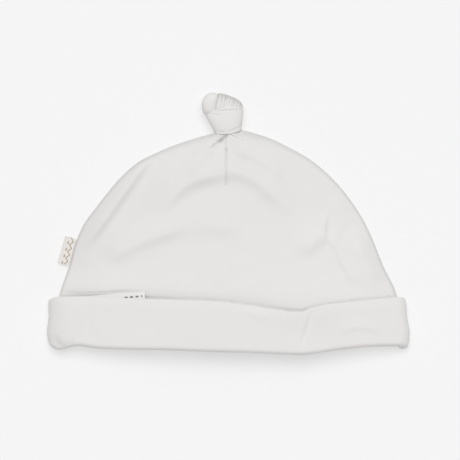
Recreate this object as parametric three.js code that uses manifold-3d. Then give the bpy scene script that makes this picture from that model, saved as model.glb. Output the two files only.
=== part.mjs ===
// A baby's knotted nightcap in white cotton jersey, lying flat on its back panel.
// X runs across the cap, Y from the cuff's foot to the knot, Z up from the surface that it lies on.
// Two crown panels are sewn together along both sides. A doubled band is sewn to their foot and
// turned up outside them as a cuff, and the crown's tail is tied in a knot at the top.
// Everything is in millimetres.

import * as THREE from "three";
import { mergeVertices } from "three/addons/utils/BufferGeometryUtils.js";
import Module from "manifold-3d";

const wasm = await Module();
wasm.setup();

// Driving sizes of the cap as it lies flat
const cuffWidth = 170; // across the turned-up cuff
const cuffDepth = 27; // from the cuff's foot to its top edge, at the ends
const crownHeight = 104; // from the cuff's foot to the neck, where the knot begins
const crownSpread = 1; // each side of the crown is this much further out at its foot
const neckWidth = 13.5; // the crown's neck, gathered under the knot

// Cloth, and the clearances between its layers
const crownWall = 1.2; // single jersey
const cuffWall = 2; // doubled jersey
const seamGap = 0.3; // between two pieces that are sewn edge to edge
const layerGap = 0.5; // between the crown and the cuff that lies against it
const endRoom = 3.5; // between the crown's sides and the cuff that turns round them
const rootGap = 0.9; // between the crown's gathered neck and the tail's root inside it
const crownPuff = 9; // air under the front panel lifts its middle this much
const edgeLift = 0.6; // the side seams stand this far off the surface
const settleRun = 12; // the back panel comes down to the surface over this run
const archPower = 0.8; // below 1 the front panel's arch is flatter in its middle

// The band's turned-up section
const seamHeight = 9; // from the foot to the seam between band and crown
const foldRise = 2.1; // height of the rounded fold at the cuff's foot
const cuffEndLeft = 7; // how far the cuff's rounded ends reach in
const cuffEndRight = 5;
const endFullness = 0.65; // below 1 the rounded ends are fuller than an ellipse
const topTaperLeft = 1; // the ends draw in towards the cuff's top edge
const topTaperRight = 2;
const footTaper = 2; // and towards the fold at its foot
const footRun = 0.35; // over this share of cuffDepth
const cuffFlare = 1.6; // the top edge stands off the crown at its dip
const flareReach = 0.2; // as a share of half the cuff's width
const flareStart = 0.3; // the flare starts at this share of cuffDepth
const liftRun = 15; // the back panel comes down off the cuff over this run

// Knot, labels
const knotHeight = 18.8; // from the neck to the top of the knot
const knotSwell = 5.7; // the knot is this much wider than the neck
const knotDepth = 12;
const rootShare = 0.04; // the tail's root reaches this far down the crown's sections
const rootReach = 0.2; // and this share of the knot's height up into the wrap
const rootEdge = 0.2; // its sides, as a share of the neck's width in from the seams
const gatherDepth = 0.5; // ridges of the gathered end
const tagLength = 13; // along the side seam
const tagReach = 5.2; // how far the tag stands out from the seam
const tagWall = 1; // a folded woven ribbon
const tagRise = 0.274; // its middle, as a share of the crown above the cuff
const labelWidth = 30;
const labelWall = 0.4; // one layer of satin ribbon
const labelTurn = 6.5; // degrees that it leans
const labelPeek = 2.7; // how far its higher corner shows above the cuff
const labelPlace = -0.459; // that corner, as a share of half the cuff's width

const half = 0.5;
const crownWidth = cuffWidth - 2 * (cuffWall + endRoom); // across the crown at the cuff's top edge
const knotWidth = neckWidth + knotSwell;
const neckLevel = knotDepth * half; // height of the side seams at the neck
const labelLean = THREE.MathUtils.degToRad(labelTurn);
const labelHeight = cuffDepth + labelPeek - seamHeight - labelWidth * Math.sin(labelLean);
const halfNeck = neckWidth * half;
const halfCrown = crownWidth * half;
const halfCuff = cuffWidth * half;
const crownRun = crownHeight - cuffDepth;
const frontGap = labelWall + 2 * seamGap; // room for the label between the crown and the cuff
const cuffRaise = cuffWall + layerGap; // the back panel lies this high over the cuff
const knotFoot = crownHeight + seamGap;

// Sections of the crown from the neck down to the cuff's top edge. side and middle are the heights
// of a section's ends and middle above the cuff, as shares of the crown above the cuff. left and
// right run from the neck's half width at 0 to the crown's at 1. puff is a share of crownPuff, and
// gather runs from 1 at the neck to 0 where the side seams lie at rest.
const crownSections = [
  { side: 1.0, middle: 1.0, left: 0.0, right: 0.0, puff: 0.3, gather: 1.0 },
  { side: 0.972, middle: 0.925, left: 0.112, right: 0.16, puff: 0.4, gather: 0.72 },
  { side: 0.928, middle: 0.853, left: 0.25, right: 0.268, puff: 0.51, gather: 0.44 },
  { side: 0.879, middle: 0.79, left: 0.377, right: 0.37, puff: 0.61, gather: 0.22 },
  { side: 0.824, middle: 0.73, left: 0.49, right: 0.458, puff: 0.7, gather: 0.08 },
  { side: 0.733, middle: 0.645, left: 0.6, right: 0.568, puff: 0.8, gather: 0 },
  { side: 0.636, middle: 0.56, left: 0.688, right: 0.662, puff: 0.88, gather: 0 },
  { side: 0.54, middle: 0.474, left: 0.767, right: 0.738, puff: 0.94, gather: 0 },
  { side: 0.444, middle: 0.395, left: 0.84, right: 0.8, puff: 0.98, gather: 0 },
  { side: 0.33, middle: 0.296, left: 0.893, right: 0.86, puff: 1, gather: 0 },
  { side: 0.193, middle: 0.174, left: 0.933, right: 0.925, puff: 1, gather: 0 },
  { side: 0.07, middle: 0.061, left: 0.978, right: 0.98, puff: 1, gather: 0 },
  { side: 0, middle: 0, left: 1, right: 1, puff: 1, gather: 0 },
];

// Folds of the front panel. Each runs from one point to another: across is a share of half the
// crown's width, right of the middle, and rise a share of the crown above the cuff. bow bends the
// run sideways and width is its half width, as shares of half the crown's width. height is a share
// of crownPuff, below 0 for a valley.
const frontFolds = [
  { across: -0.49, rise: 0.83, toAcross: -0.84, toRise: 0.27, bow: 0.01, width: 0.036, height: -0.13 },
  { across: -0.06, rise: 0.71, toAcross: -0.34, toRise: 0.54, bow: 0.05, width: 0.045, height: -0.11 },
  { across: 0.04, rise: 0.74, toAcross: 0.31, toRise: 0.58, bow: -0.03, width: 0.04, height: -0.1 },
  { across: -0.68, rise: 0.26, toAcross: 0.08, toRise: 0.43, bow: 0.03, width: 0.055, height: -0.11 },
  { across: -0.1, rise: 0.92, toAcross: -0.26, toRise: 0.71, bow: 0.01, width: 0.035, height: 0.09 },
  { across: 0.07, rise: 0.93, toAcross: 0.28, toRise: 0.74, bow: 0.0, width: 0.035, height: 0.07 },
  { across: -0.015, rise: 0.9, toAcross: -0.012, toRise: 0.68, bow: 0.0, width: 0.016, height: -0.09 },
  { across: 0.0, rise: 0.98, toAcross: -0.09, toRise: 0.9, bow: 0.0, width: 0.014, height: -0.1 },
  { across: 0.59, rise: 0.47, toAcross: 0.55, toRise: 0.3, bow: 0.0, width: 0.035, height: -0.09 },
  { across: 0.58, rise: 0.33, toAcross: 0.71, toRise: 0.11, bow: 0.03, width: 0.035, height: -0.07 },
  { across: 0.84, rise: 0.19, toAcross: 0.99, toRise: 0.04, bow: 0.02, width: 0.04, height: -0.11 },
];

// Folds of the cuff's front, with rise as a share of cuffDepth and the rest as above but taken from
// half the cuff's width and from cuffWall.
const cuffFolds = [
  { across: 0.47, rise: 0.72, toAcross: 0.39, toRise: 0.12, bow: 0.0, width: 0.028, height: -0.3 },
  { across: 0.64, rise: 0.34, toAcross: 0.84, toRise: 0.42, bow: 0.02, width: 0.03, height: -0.2 },
  { across: -0.86, rise: 0.8, toAcross: -0.88, toRise: 0.3, bow: 0.0, width: 0.04, height: -0.15 },
];

// Pleats that run down from the neck, by the column that they follow: across is -1 at the left
// seam and 1 at the right. reach is how far they run, as a share of the crown's sections, and
// height is a share of crownWall.
const neckPleats = [
  { across: -0.62, width: 0.13, height: 0.5, reach: 0.16 },
  { across: -0.22, width: 0.1, height: -0.6, reach: 0.14 },
  { across: 0.24, width: 0.12, height: 0.5, reach: 0.18 },
  { across: 0.6, width: 0.12, height: -0.4, reach: 0.16 },
];

// Edges of the cuff across the front. across is a share of half the cuff's width, top the height
// of its top edge and foot that of its bottom fold, as shares of cuffDepth.
const cuffEdges = [
  { across: -1, top: 0.985, foot: 0.15 },
  { across: -0.84, top: 1, foot: 0.163 },
  { across: -0.75, top: 1, foot: 0.13 },
  { across: -0.61, top: 0.995, foot: 0.096 },
  { across: -0.335, top: 0.98, foot: 0.078 },
  { across: -0.06, top: 0.955, foot: 0.043 },
  { across: 0.15, top: 0.88, foot: 0.03 },
  { across: 0.29, top: 0.8, foot: 0.014 },
  { across: 0.41, top: 0.75, foot: 0 },
  { across: 0.46, top: 0.8, foot: 0.01 },
  { across: 0.54, top: 0.87, foot: 0.043 },
  { across: 0.635, top: 0.91, foot: 0.087 },
  { across: 0.78, top: 0.96, foot: 0.13 },
  { across: 1, top: 1, foot: 0.15 },
];
const backTop = 0.96; // the cuff's edges across the back, as shares of cuffDepth
const backFoot = 0.07;

// The knot in sections from the neck up. rise is a share of knotHeight, left and right shares of
// knotWidth from the neck's middle, low and high shares of knotDepth.
const wrapSections = [
  { rise: 0, left: -0.31, right: 0.31, low: 0.13, high: 0.8 },
  { rise: 0.12, left: -0.36, right: 0.33, low: 0.07, high: 0.88 },
  { rise: 0.28, left: -0.45, right: 0.355, low: 0.02, high: 0.95 },
  { rise: 0.44, left: -0.52, right: 0.37, low: 0, high: 0.99 },
  { rise: 0.56, left: -0.545, right: 0.37, low: 0, high: 1 },
  { rise: 0.6, left: -0.53, right: 0.35, low: 0.05, high: 0.95 },
];
const gatheredSections = [
  { rise: 0.5, left: -0.28, right: 0.345, low: 0.12, high: 0.9 },
  { rise: 0.66, left: -0.29, right: 0.36, low: 0.1, high: 0.92 },
  { rise: 0.78, left: -0.285, right: 0.33, low: 0.13, high: 0.87 },
  { rise: 0.88, left: -0.27, right: 0.24, low: 0.2, high: 0.78 },
  { rise: 0.95, left: -0.25, right: 0.11, low: 0.32, high: 0.66 },
  { rise: 0.98, left: -0.2, right: 0.0, low: 0.42, high: 0.56 },
];
const loopSections = [
  { rise: 0.42, left: -0.49, right: -0.36, low: 0.3, high: 0.7 },
  { rise: 0.5, left: -0.56, right: -0.28, low: 0.16, high: 0.86 },
  { rise: 0.62, left: -0.61, right: -0.26, low: 0.07, high: 0.97 },
  { rise: 0.75, left: -0.63, right: -0.24, low: 0.05, high: 0.98 },
  { rise: 0.87, left: -0.59, right: -0.22, low: 0.12, high: 0.88 },
  { rise: 0.96, left: -0.51, right: -0.24, low: 0.28, high: 0.7 },
  { rise: 1, left: -0.44, right: -0.31, low: 0.4, high: 0.58 },
];

// The front panel's folds fade out at both ends, and near the cuff and the side seams
const foldFade = 0.2; // as a share of a fold's length
const cuffFade = 0.06; // as a share of the crown above the cuff
const seamFade = 8; // power of the distance from the middle

// Roundness of the knot's sections: 1 is an ellipse, and less is fuller
const knotAcross = 0.85;
const knotUp = 0.75;

// How finely each piece is divided
const frontColumns = 48;
const frontRows = 29;
const backColumns = 26;
const backRows = 18;
const cuffFrontSteps = 34;
const cuffBackSteps = 18;
const cuffEndSteps = 6;
const knotSides = 28;
const rootColumns = 11;
const labelColumns = 8;
const labelRows = 4;

const lerp = THREE.MathUtils.lerp;
const smoothstep = (from, to, value) => THREE.MathUtils.smoothstep(value, from, to);
const bell = (offset, width) => Math.exp(-((offset / width) ** 2));
const fuller = (value, power) => Math.sign(value) * Math.abs(value) ** power;

// A smooth curve through one column of a table: value(t) where the rows stand at stations[i].
function curveThrough(stations, values) {
  const slope = (i) => {
    const a = Math.max(i - 1, 0);
    const b = Math.min(i + 1, values.length - 1);
    return (values[b] - values[a]) / (stations[b] - stations[a]);
  };
  return (t) => {
    let i = 0;
    while (i < stations.length - 2 && t > stations[i + 1]) {
      i += 1;
    }
    const run = stations[i + 1] - stations[i];
    const f = THREE.MathUtils.clamp((t - stations[i]) / run, 0, 1);
    const g = 1 - f;
    const bend = f * g * g * slope(i) - f * f * g * slope(i + 1);
    return values[i] * g * g * (1 + 2 * f) + values[i + 1] * f * f * (3 - 2 * f) + run * bend;
  };
}

// Evenly spaced stations for a table whose rows are sections one after the other.
const evenly = (rows) => rows.map((row, i) => i / (rows.length - 1));
const column = (rows, name) => rows.map((row) => row[name]);
const sectionCurve = (name) => curveThrough(evenly(crownSections), column(crownSections, name));
const edgeCurve = (name) => curveThrough(column(cuffEdges, "across"), column(cuffEdges, name));

const crown = {
  side: sectionCurve("side"),
  middle: sectionCurve("middle"),
  left: sectionCurve("left"),
  right: sectionCurve("right"),
  puff: sectionCurve("puff"),
  gather: sectionCurve("gather"),
};
const cuffTop = edgeCurve("top");
const cuffFoot = edgeCurve("foot");

// The stretch hidden behind the cuff adds a last share to the crown's sections.
const hiddenRows = 0.2;

// Rows of the crown's grids lie a little closer together towards the neck.
const rowCrowding = 1.1;

// A grid's first columns lie close together where the panel's edge rolls over, and the rest evenly.
const rolledShares = [0, 0.0022, 0.0075];
const evenStart = 0.022;

// The panels' inner edges draw in from the seam, over this many thicknesses of the cloth.
const innerEdgeRun = 5;

// How far the back panel is lifted by the cuff under it, at height y.
const liftAt = (y) => cuffRaise * (1 - smoothstep(cuffDepth, cuffDepth + liftRun, y));

// Half the crown's width behind the cuff, where its sides run straight down to its foot.
const hiddenHalf = (y) => halfCrown + crownSpread * (cuffDepth - y) / (cuffDepth - seamHeight);

// A section of the crown at share v, from 0 at the neck to 1 at the foot: its ends and middle.
function sectionAt(v) {
  const shown = Math.min(v / (1 - hiddenRows), 1);
  if (v > 1 - hiddenRows) {
    const y = lerp(cuffDepth, seamHeight, (v - 1 + hiddenRows) / hiddenRows);
    return { left: -hiddenHalf(y), right: hiddenHalf(y), side: y, middle: y, puff: 1, gather: 0 };
  }
  return {
    left: -lerp(halfNeck, halfCrown, crown.left(shown)),
    right: lerp(halfNeck, halfCrown, crown.right(shown)),
    side: cuffDepth + crownRun * crown.side(shown),
    middle: cuffDepth + crownRun * crown.middle(shown),
    puff: crown.puff(shown),
    gather: Math.max(crown.gather(shown), 0),
  };
}

// Height of the side seams at a section.
function seamLevel(y, gather) {
  const shown = smoothstep(cuffDepth, cuffDepth + liftRun, y);
  const atRest = liftAt(y) + edgeLift * shown + crownWall + seamGap * half;
  return lerp(atRest, neckLevel, gather);
}

// How much the air under the front panel lifts it, across a section from -1 to 1.
const archAt = (across) => Math.max(1 - across * across, 0) ** archPower;

// The sum of the folds at a point, in a frame whose sizes are half its width and its rise.
function foldsAt(folds, halfWide, run, x, rise) {
  let height = 0;
  for (const fold of folds) {
    const start = new THREE.Vector2(fold.across * halfWide, fold.rise * run);
    const end = new THREE.Vector2(fold.toAcross * halfWide, fold.toRise * run);
    const line = end.clone().sub(start);
    const from = new THREE.Vector2(x, rise * run).sub(start);
    const along = from.dot(line) / line.lengthSq();
    const bend = fold.bow * halfWide * 4 * along * (1 - along);
    const aside = from.cross(line) / line.length() - bend;
    const starts = smoothstep(-foldFade, foldFade, along);
    const ends = smoothstep(1 - foldFade, 1 + foldFade, along);
    const taper = starts * (1 - ends);
    height += fold.height * taper * bell(aside, fold.width * halfWide);
  }
  return height;
}

// Height that the folds and pleats add to the front panel.
function frontFoldHeight(x, y, across, v) {
  const rise = (y - cuffDepth) / crownRun;
  let height = crownPuff * foldsAt(frontFolds, halfCrown, crownRun, x, rise);
  for (const pleat of neckPleats) {
    const taper = 1 - smoothstep(pleat.reach * half, pleat.reach, v);
    height += pleat.height * crownWall * taper * bell(across - pleat.across, pleat.width);
  }
  const clearOfCuff = smoothstep(0, cuffFade, rise);
  const clearOfSeam = 1 - Math.abs(across) ** seamFade;
  return height * clearOfCuff * clearOfSeam;
}

// A quarter round at the panel's sewn edge, by distance from that edge.
const edgeRoll = (distance) => {
  const inside = THREE.MathUtils.clamp(1 - distance / crownWall, 0, 1);
  return crownWall * Math.sqrt(1 - inside * inside);
};

// Outer surface of the front panel behind the cuff, where the cuff lies on it.
function hiddenFront(x, y) {
  const across = THREE.MathUtils.clamp(x / hiddenHalf(y), -1, 1);
  return seamLevel(y, 0) + seamGap * half + crownWall + crownPuff * archAt(across);
}

// A point on one crown panel, t across the section from 0 to 1. inset moves it in from the seam.
function panelPoint(v, t, inset, isFront, isOuter) {
  const row = sectionAt(v);
  const width = row.right - row.left;
  const nearest = Math.min(t, 1 - t) * width;
  const pushed = nearest + inset * Math.max(1 - nearest / (innerEdgeRun * crownWall), 0);
  const share = pushed / width;
  const u = t <= half ? share : 1 - share;
  const across = 2 * u - 1;
  const x = lerp(row.left, row.right, u);
  const y = row.middle + (row.side - row.middle) * across * across;
  const level = seamLevel(y, row.gather);
  const roll = isOuter ? edgeRoll(pushed) : 0;
  if (isFront) {
    const fold = frontFoldHeight(x, y, across, v);
    const z = level + seamGap * half + roll + crownPuff * row.puff * archAt(across) + fold;
    return new THREE.Vector3(x, y, z);
  }
  const top = level - seamGap * half;
  const fall = Math.max(top - crownWall - liftAt(y), 0);
  return new THREE.Vector3(x, y, top - roll - fall * smoothstep(0, settleRun, pushed));
}

// Shares across a section: close together at the seams, where the edge rolls over.
function acrossShares(columns) {
  const steps = columns - 2 * rolledShares.length;
  const even = [...Array(steps).keys()].map((i) => lerp(evenStart, 1 - evenStart, i / (steps - 1)));
  return [...rolledShares, ...even, ...rolledShares.map((share) => 1 - share).reverse()];
}

// One crown panel as two grids of points, its outer and inner surfaces.
function crownPanel(isFront, columns, rows) {
  const shares = acrossShares(columns);
  const grid = (isOuter) =>
    [...Array(rows).keys()].map((row) => {
      const v = (row / (rows - 1)) ** rowCrowding;
      return shares.map((t) => panelPoint(v, t, isOuter ? 0 : crownWall, isFront, isOuter));
    });
  return isFront ? sheetSolid(grid(true), grid(false)) : sheetSolid(grid(false), grid(true));
}

// A closed solid between two grids of points, the first of them the upper one. The grids' rows run
// away from the knot and their columns to the right.
function sheetSolid(upper, lower) {
  const rows = upper.length;
  const columns = upper[0].length;
  const points = [...upper.flat(), ...lower.flat()];
  const top = (row, col) => row * columns + col;
  const bottom = (row, col) => (rows + row) * columns + col;
  const faces = [];
  for (let row = 0; row < rows - 1; row += 1) {
    for (let col = 0; col < columns - 1; col += 1) {
      quad(faces, top(row, col), top(row + 1, col), top(row + 1, col + 1), top(row, col + 1));
      quad(faces, bottom(row, col), bottom(row, col + 1), bottom(row + 1, col + 1), bottom(row + 1, col));
    }
    const last = columns - 1;
    quad(faces, top(row, 0), bottom(row, 0), bottom(row + 1, 0), top(row + 1, 0));
    quad(faces, top(row + 1, last), bottom(row + 1, last), bottom(row, last), top(row, last));
  }
  for (let col = 0; col < columns - 1; col += 1) {
    const last = rows - 1;
    quad(faces, top(0, col + 1), bottom(0, col + 1), bottom(0, col), top(0, col));
    quad(faces, top(last, col), bottom(last, col), bottom(last, col + 1), top(last, col + 1));
  }
  return meshGeometry(points, faces);
}

// Two triangles for a face with corners a, b, c and d in turn.
const quad = (faces, a, b, c, d) => faces.push(a, b, c, a, c, d);

function meshGeometry(points, faces) {
  const positions = new Float32Array(points.flatMap((point) => point.toArray()));
  const geometry = new THREE.BufferGeometry();
  geometry.setAttribute("position", new THREE.BufferAttribute(positions, 3));
  geometry.setIndex(faces);
  geometry.computeVertexNormals();
  return geometry;
}

// Where the cuff's outside ends on the left or right at height y: it draws in at its top and foot.
function cuffEnd(y, isRight) {
  const topTaper = isRight ? topTaperRight : topTaperLeft;
  const rise = y / cuffDepth;
  const footShare = Math.max(1 - rise / footRun, 0) ** 2;
  return halfCuff - topTaper * Math.max(rise, 0) ** 2 - footTaper * footShare;
}

// The layers of the cuff, from the cap's hollow outwards: where each ends, the reach of its rounded
// ends at left and right, and its heights under and over the crown.
const cuffLayers = {
  lipInside: {
    end: (y) => hiddenHalf(y) - crownWall,
    reach: [crownWall * half, crownWall * half],
    low: cuffRaise + crownWall,
    high: (x, y) => hiddenFront(x, y) - crownWall,
  },
  lipOutside: {
    end: (y) => hiddenHalf(y),
    reach: [crownWall, crownWall],
    low: cuffRaise,
    high: (x, y) => hiddenFront(x, y),
  },
  bandInside: {
    end: (y, isRight) => cuffEnd(y, isRight) - cuffWall,
    reach: [cuffEndLeft - cuffWall, cuffEndRight - cuffWall],
    low: cuffWall,
    high: (x, y) => bandFront(x, y),
  },
  bandOutside: {
    end: cuffEnd,
    reach: [cuffEndLeft, cuffEndRight],
    low: 0,
    high: (x, y) => bandFront(x, y) + cuffWall,
  },
};

// Height of the band's inner surface over the crown.
function bandFront(x, y) {
  const folds = cuffWall * foldsAt(cuffFolds, halfCuff, cuffDepth, x, y / cuffDepth);
  return hiddenFront(x, y) + frontGap + flareAt(x, y) + folds;
}

// How far the cuff stands off the crown, most at the dip of its top edge.
function flareAt(x, y) {
  const dip = cuffEdges.reduce((a, b) => (b.top < a.top ? b : a));
  const across = x / halfCuff - dip.across;
  return cuffFlare * bell(across, flareReach) * smoothstep(cuffDepth * flareStart, cuffDepth, y);
}

// Stations round the cuff: across the front, round the right end, across the back, round the left.
// turn is 0 at the front and 1 at the back.
function cuffStations() {
  const stations = [];
  for (let i = 0; i < cuffFrontSteps; i += 1) {
    stations.push({ across: lerp(-1, 1, i / cuffFrontSteps), turn: 0 });
  }
  for (let i = 0; i < cuffEndSteps; i += 1) {
    stations.push({ across: 1, turn: i / cuffEndSteps });
  }
  for (let i = 0; i < cuffBackSteps; i += 1) {
    stations.push({ across: lerp(1, -1, i / cuffBackSteps), turn: 1 });
  }
  for (let i = 0; i < cuffEndSteps; i += 1) {
    stations.push({ across: -1, turn: 1 - i / cuffEndSteps });
  }
  return stations;
}

// The point of a cuff layer at a station and height y.
function layerPoint(layer, station, y) {
  const [reachLeft, reachRight] = layer.reach;
  const left = -layer.end(y, false) + reachLeft;
  const right = layer.end(y, true) - reachRight;
  const x = lerp(left, right, (station.across + 1) * half);
  const angle = station.turn * Math.PI;
  const bulge = station.across > 0 ? reachRight : -reachLeft;
  const z = lerp(layer.low, layer.high(x, y), (1 + Math.cos(angle)) * half);
  return new THREE.Vector3(x + bulge * Math.sin(angle) ** endFullness, y, z);
}

// The band's section at a station, a hook that is open at the top: down the lip inside the cap,
// round the fold, up the outside, over the top edge and back down to the lip.
function cuffSection(station) {
  const mix = (1 - Math.cos(station.turn * Math.PI)) * half;
  const across = layerPoint(cuffLayers.bandOutside, { across: station.across, turn: 0 }, 0).x / halfCuff;
  const foot = cuffDepth * lerp(cuffFoot(across), backFoot, mix);
  const top = cuffDepth * lerp(cuffTop(across), backTop, mix);
  const lipTop = seamHeight - seamGap;
  const floor = foot + cuffWall;
  const round = cuffWall * half;
  const { lipInside, lipOutside, bandInside, bandOutside } = cuffLayers;
  const at = (layer, y) => layerPoint(layer, station, y);
  const between = (a, b, y, share) => at(a, y).lerp(at(b, y), share);
  const points = [at(lipInside, lipTop), at(lipInside, foot + foldRise)];
  for (const angle of [45, 90, 135]) {
    const turn = THREE.MathUtils.degToRad(angle);
    const y = foot + foldRise * (1 - Math.sin(turn));
    points.push(between(lipInside, bandOutside, y, (1 - Math.cos(turn)) * half));
  }
  points.push(at(bandOutside, foot + foldRise));
  for (const share of [1 / 3, 2 / 3]) {
    points.push(at(bandOutside, lerp(foot + foldRise, top - round, share)));
  }
  points.push(at(bandOutside, top - round));
  points.push(between(bandOutside, bandInside, top, half));
  points.push(at(bandInside, top - round));
  for (const share of [2 / 3, 1 / 3]) {
    points.push(at(bandInside, lerp(floor + round, top - round, share)));
  }
  points.push(at(bandInside, floor + round * half));
  points.push(between(bandInside, lipOutside, floor, half));
  points.push(at(lipOutside, floor + round * half));
  points.push(at(lipOutside, lipTop));
  return points;
}

// The cuff: its sections joined into a ring.
function cuffBand() {
  const sections = cuffStations().map(cuffSection);
  const size = sections[0].length;
  const faces = [];
  sections.forEach((section, i) => {
    const next = (i + 1) % sections.length;
    for (let j = 0; j < size; j += 1) {
      const k = (j + 1) % size;
      quad(faces, i * size + j, next * size + j, next * size + k, i * size + k);
    }
  });
  return meshGeometry(sections.flat(), faces);
}

// A closed solid through sections of a tied length of cloth, each a rounded loop about the Y axis.
// ridges is how many gathers run up it.
function knotSolid(rows, ridges) {
  const rings = rows.map((row) => {
    const centre = (row.left + row.right) * half * knotWidth;
    const middle = (row.low + row.high) * half * knotDepth;
    const wide = (row.right - row.left) * half * knotWidth;
    const deep = (row.high - row.low) * half * knotDepth;
    return [...Array(knotSides).keys()].map((i) => {
      const angle = (2 * Math.PI * i) / knotSides;
      const ridge = ridges && i % 2 ? gatherDepth : 0;
      const x = fuller(Math.cos(angle), knotAcross) * (wide - ridge);
      const z = fuller(Math.sin(angle), knotUp) * (deep - ridge);
      return new THREE.Vector3(centre + x, knotFoot + row.rise * knotHeight, middle + z);
    });
  });
  return solidOf(loopsGeometry(rings));
}

// A closed solid through rings of points, each turning from X to Z, one ring after the next up Y.
function loopsGeometry(rings) {
  const sides = rings[0].length;
  const faces = [];
  for (let row = 0; row < rings.length - 1; row += 1) {
    for (let i = 0; i < sides; i += 1) {
      const j = (i + 1) % sides;
      const low = row * sides;
      const high = low + sides;
      quad(faces, low + i, high + i, high + j, low + j);
    }
  }
  const top = (rings.length - 1) * sides;
  for (let i = 1; i < sides - 1; i += 1) {
    faces.push(0, i, i + 1);
    faces.push(top, top + i + 1, top + i);
  }
  return meshGeometry(rings.flat(), faces);
}

// The tail's root fills the crown's neck: its sections are those of the space between the panels.
function knotRootSolid() {
  const steps = [...Array(rootColumns).keys()].map((i) => i / (rootColumns - 1));
  const shares = steps.map((step) => lerp(rootEdge, 1 - rootEdge, step));
  const ring = (v, rise) => {
    const upper = shares.map((t) => panelPoint(v, t, crownWall, true, false));
    const lower = shares.map((t) => panelPoint(v, t, crownWall, false, false));
    upper.forEach((point) => point.add(new THREE.Vector3(0, rise, -rootGap)));
    lower.forEach((point) => point.add(new THREE.Vector3(0, rise, rootGap)));
    return [...lower, ...upper.reverse()];
  };
  const rings = [ring(rootShare, 0), ring(0, 0), ring(0, knotHeight * rootReach)];
  return solidOf(loopsGeometry(rings));
}

function solidOf(geometry) {
  const bare = new THREE.BufferGeometry();
  bare.setAttribute("position", geometry.getAttribute("position"));
  bare.setIndex(geometry.index);
  const merged = mergeVertices(bare, 1e-3);
  return new wasm.Manifold(
    new wasm.Mesh({
      numProp: 3,
      vertProperties: merged.attributes.position.array,
      triVerts: new Uint32Array(merged.index.array),
    }),
  );
}

function geometryOf(solid) {
  const mesh = solid.getMesh();
  const geometry = new THREE.BufferGeometry();
  geometry.setAttribute("position", new THREE.BufferAttribute(mesh.vertProperties, 3));
  geometry.setIndex(new THREE.BufferAttribute(mesh.triVerts, 1));
  geometry.computeVertexNormals();
  return geometry;
}

// The knot: root, wrap, gathered end and side loop are one length of cloth.
function topKnot() {
  const parts = [
    knotSolid(wrapSections, false),
    knotSolid(gatheredSections, true),
    knotSolid(loopSections, false),
    knotRootSolid(),
  ];
  return geometryOf(parts.reduce((all, part) => all.add(part)));
}

// The care label stands between the crown and the cuff, its foot at the seam between them.
function careLabel() {
  const right = new THREE.Vector2(Math.cos(labelLean), Math.sin(labelLean));
  const up = new THREE.Vector2(-Math.sin(labelLean), Math.cos(labelLean));
  const corner = new THREE.Vector2(labelPlace * halfCuff, cuffDepth + labelPeek);
  const grid = (clearance) =>
    [...Array(labelRows).keys()].map((row) =>
      [...Array(labelColumns).keys()].map((col) => {
        const back = labelWidth * (1 - col / (labelColumns - 1));
        const down = (labelHeight * row) / (labelRows - 1);
        const at = corner.clone().addScaledVector(right, -back).addScaledVector(up, -down);
        return new THREE.Vector3(at.x, at.y, hiddenFront(at.x, at.y) + clearance);
      }),
    );
  return sheetSolid(grid(seamGap + labelWall), grid(seamGap));
}

// The woven tag lies against the left side seam, which holds it.
function sideTag() {
  const atRise = (rise) => {
    const target = cuffDepth + crownRun * rise;
    let v = 0;
    while (sectionAt(v).side > target) {
      v += 1e-3;
    }
    return new THREE.Vector2(sectionAt(v).left, sectionAt(v).side);
  };
  const spread = (tagLength * half) / crownRun;
  const low = atRise(tagRise - spread);
  const high = atRise(tagRise + spread);
  const along = high.clone().sub(low).normalize();
  const outward = new THREE.Vector2(-along.y, along.x);
  const middle = atRise(tagRise);
  const level = seamLevel(middle.y, 0);
  const foldStart = 1 - (tagWall * half) / tagReach;
  const grid = (side) =>
    [half, -half].map((end) =>
      [1, foldStart, 0].map((reach) => {
        const out = seamGap + tagReach * reach;
        const at = middle.clone().addScaledVector(outward, out).addScaledVector(along, end * tagLength);
        const rounded = reach === 1 ? half : 1;
        return new THREE.Vector3(at.x, at.y, level + side * rounded * tagWall * half);
      }),
    );
  return sheetSolid(grid(1), grid(-1));
}

const jersey = { color: 0xe9e8e6, roughness: 0.92, metalness: 0 };
const ribbon = { color: 0xe6e0d8, roughness: 0.8, metalness: 0 };
const satin = { color: 0xf3f3f2, roughness: 0.5, metalness: 0 };

const cap = new THREE.Group();
const addPiece = (name, geometry, finish) => {
  const mesh = new THREE.Mesh(geometry, new THREE.MeshStandardMaterial(finish));
  mesh.name = name;
  cap.add(mesh);
};
addPiece("crown_front", crownPanel(true, frontColumns, frontRows), jersey);
addPiece("crown_back", crownPanel(false, backColumns, backRows), jersey);
addPiece("cuff", cuffBand(), jersey);
addPiece("top_knot", topKnot(), jersey);
addPiece("side_tag", sideTag(), ribbon);
addPiece("care_label", careLabel(), satin);

// The origin is on the surface that the cap lies on, under the middle of its outline.
cap.position.y = -(knotFoot + knotHeight) * half;

export default cap;
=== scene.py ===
"""A baby's knotted nightcap in white cotton jersey, lying flat and seen from straight above.

Lengths are in millimetres until a mesh is made. In these sizes x runs across the cap, y from the
cuff's foot to the knot and z up from the surface.
"""

import math
from collections import namedtuple

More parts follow.
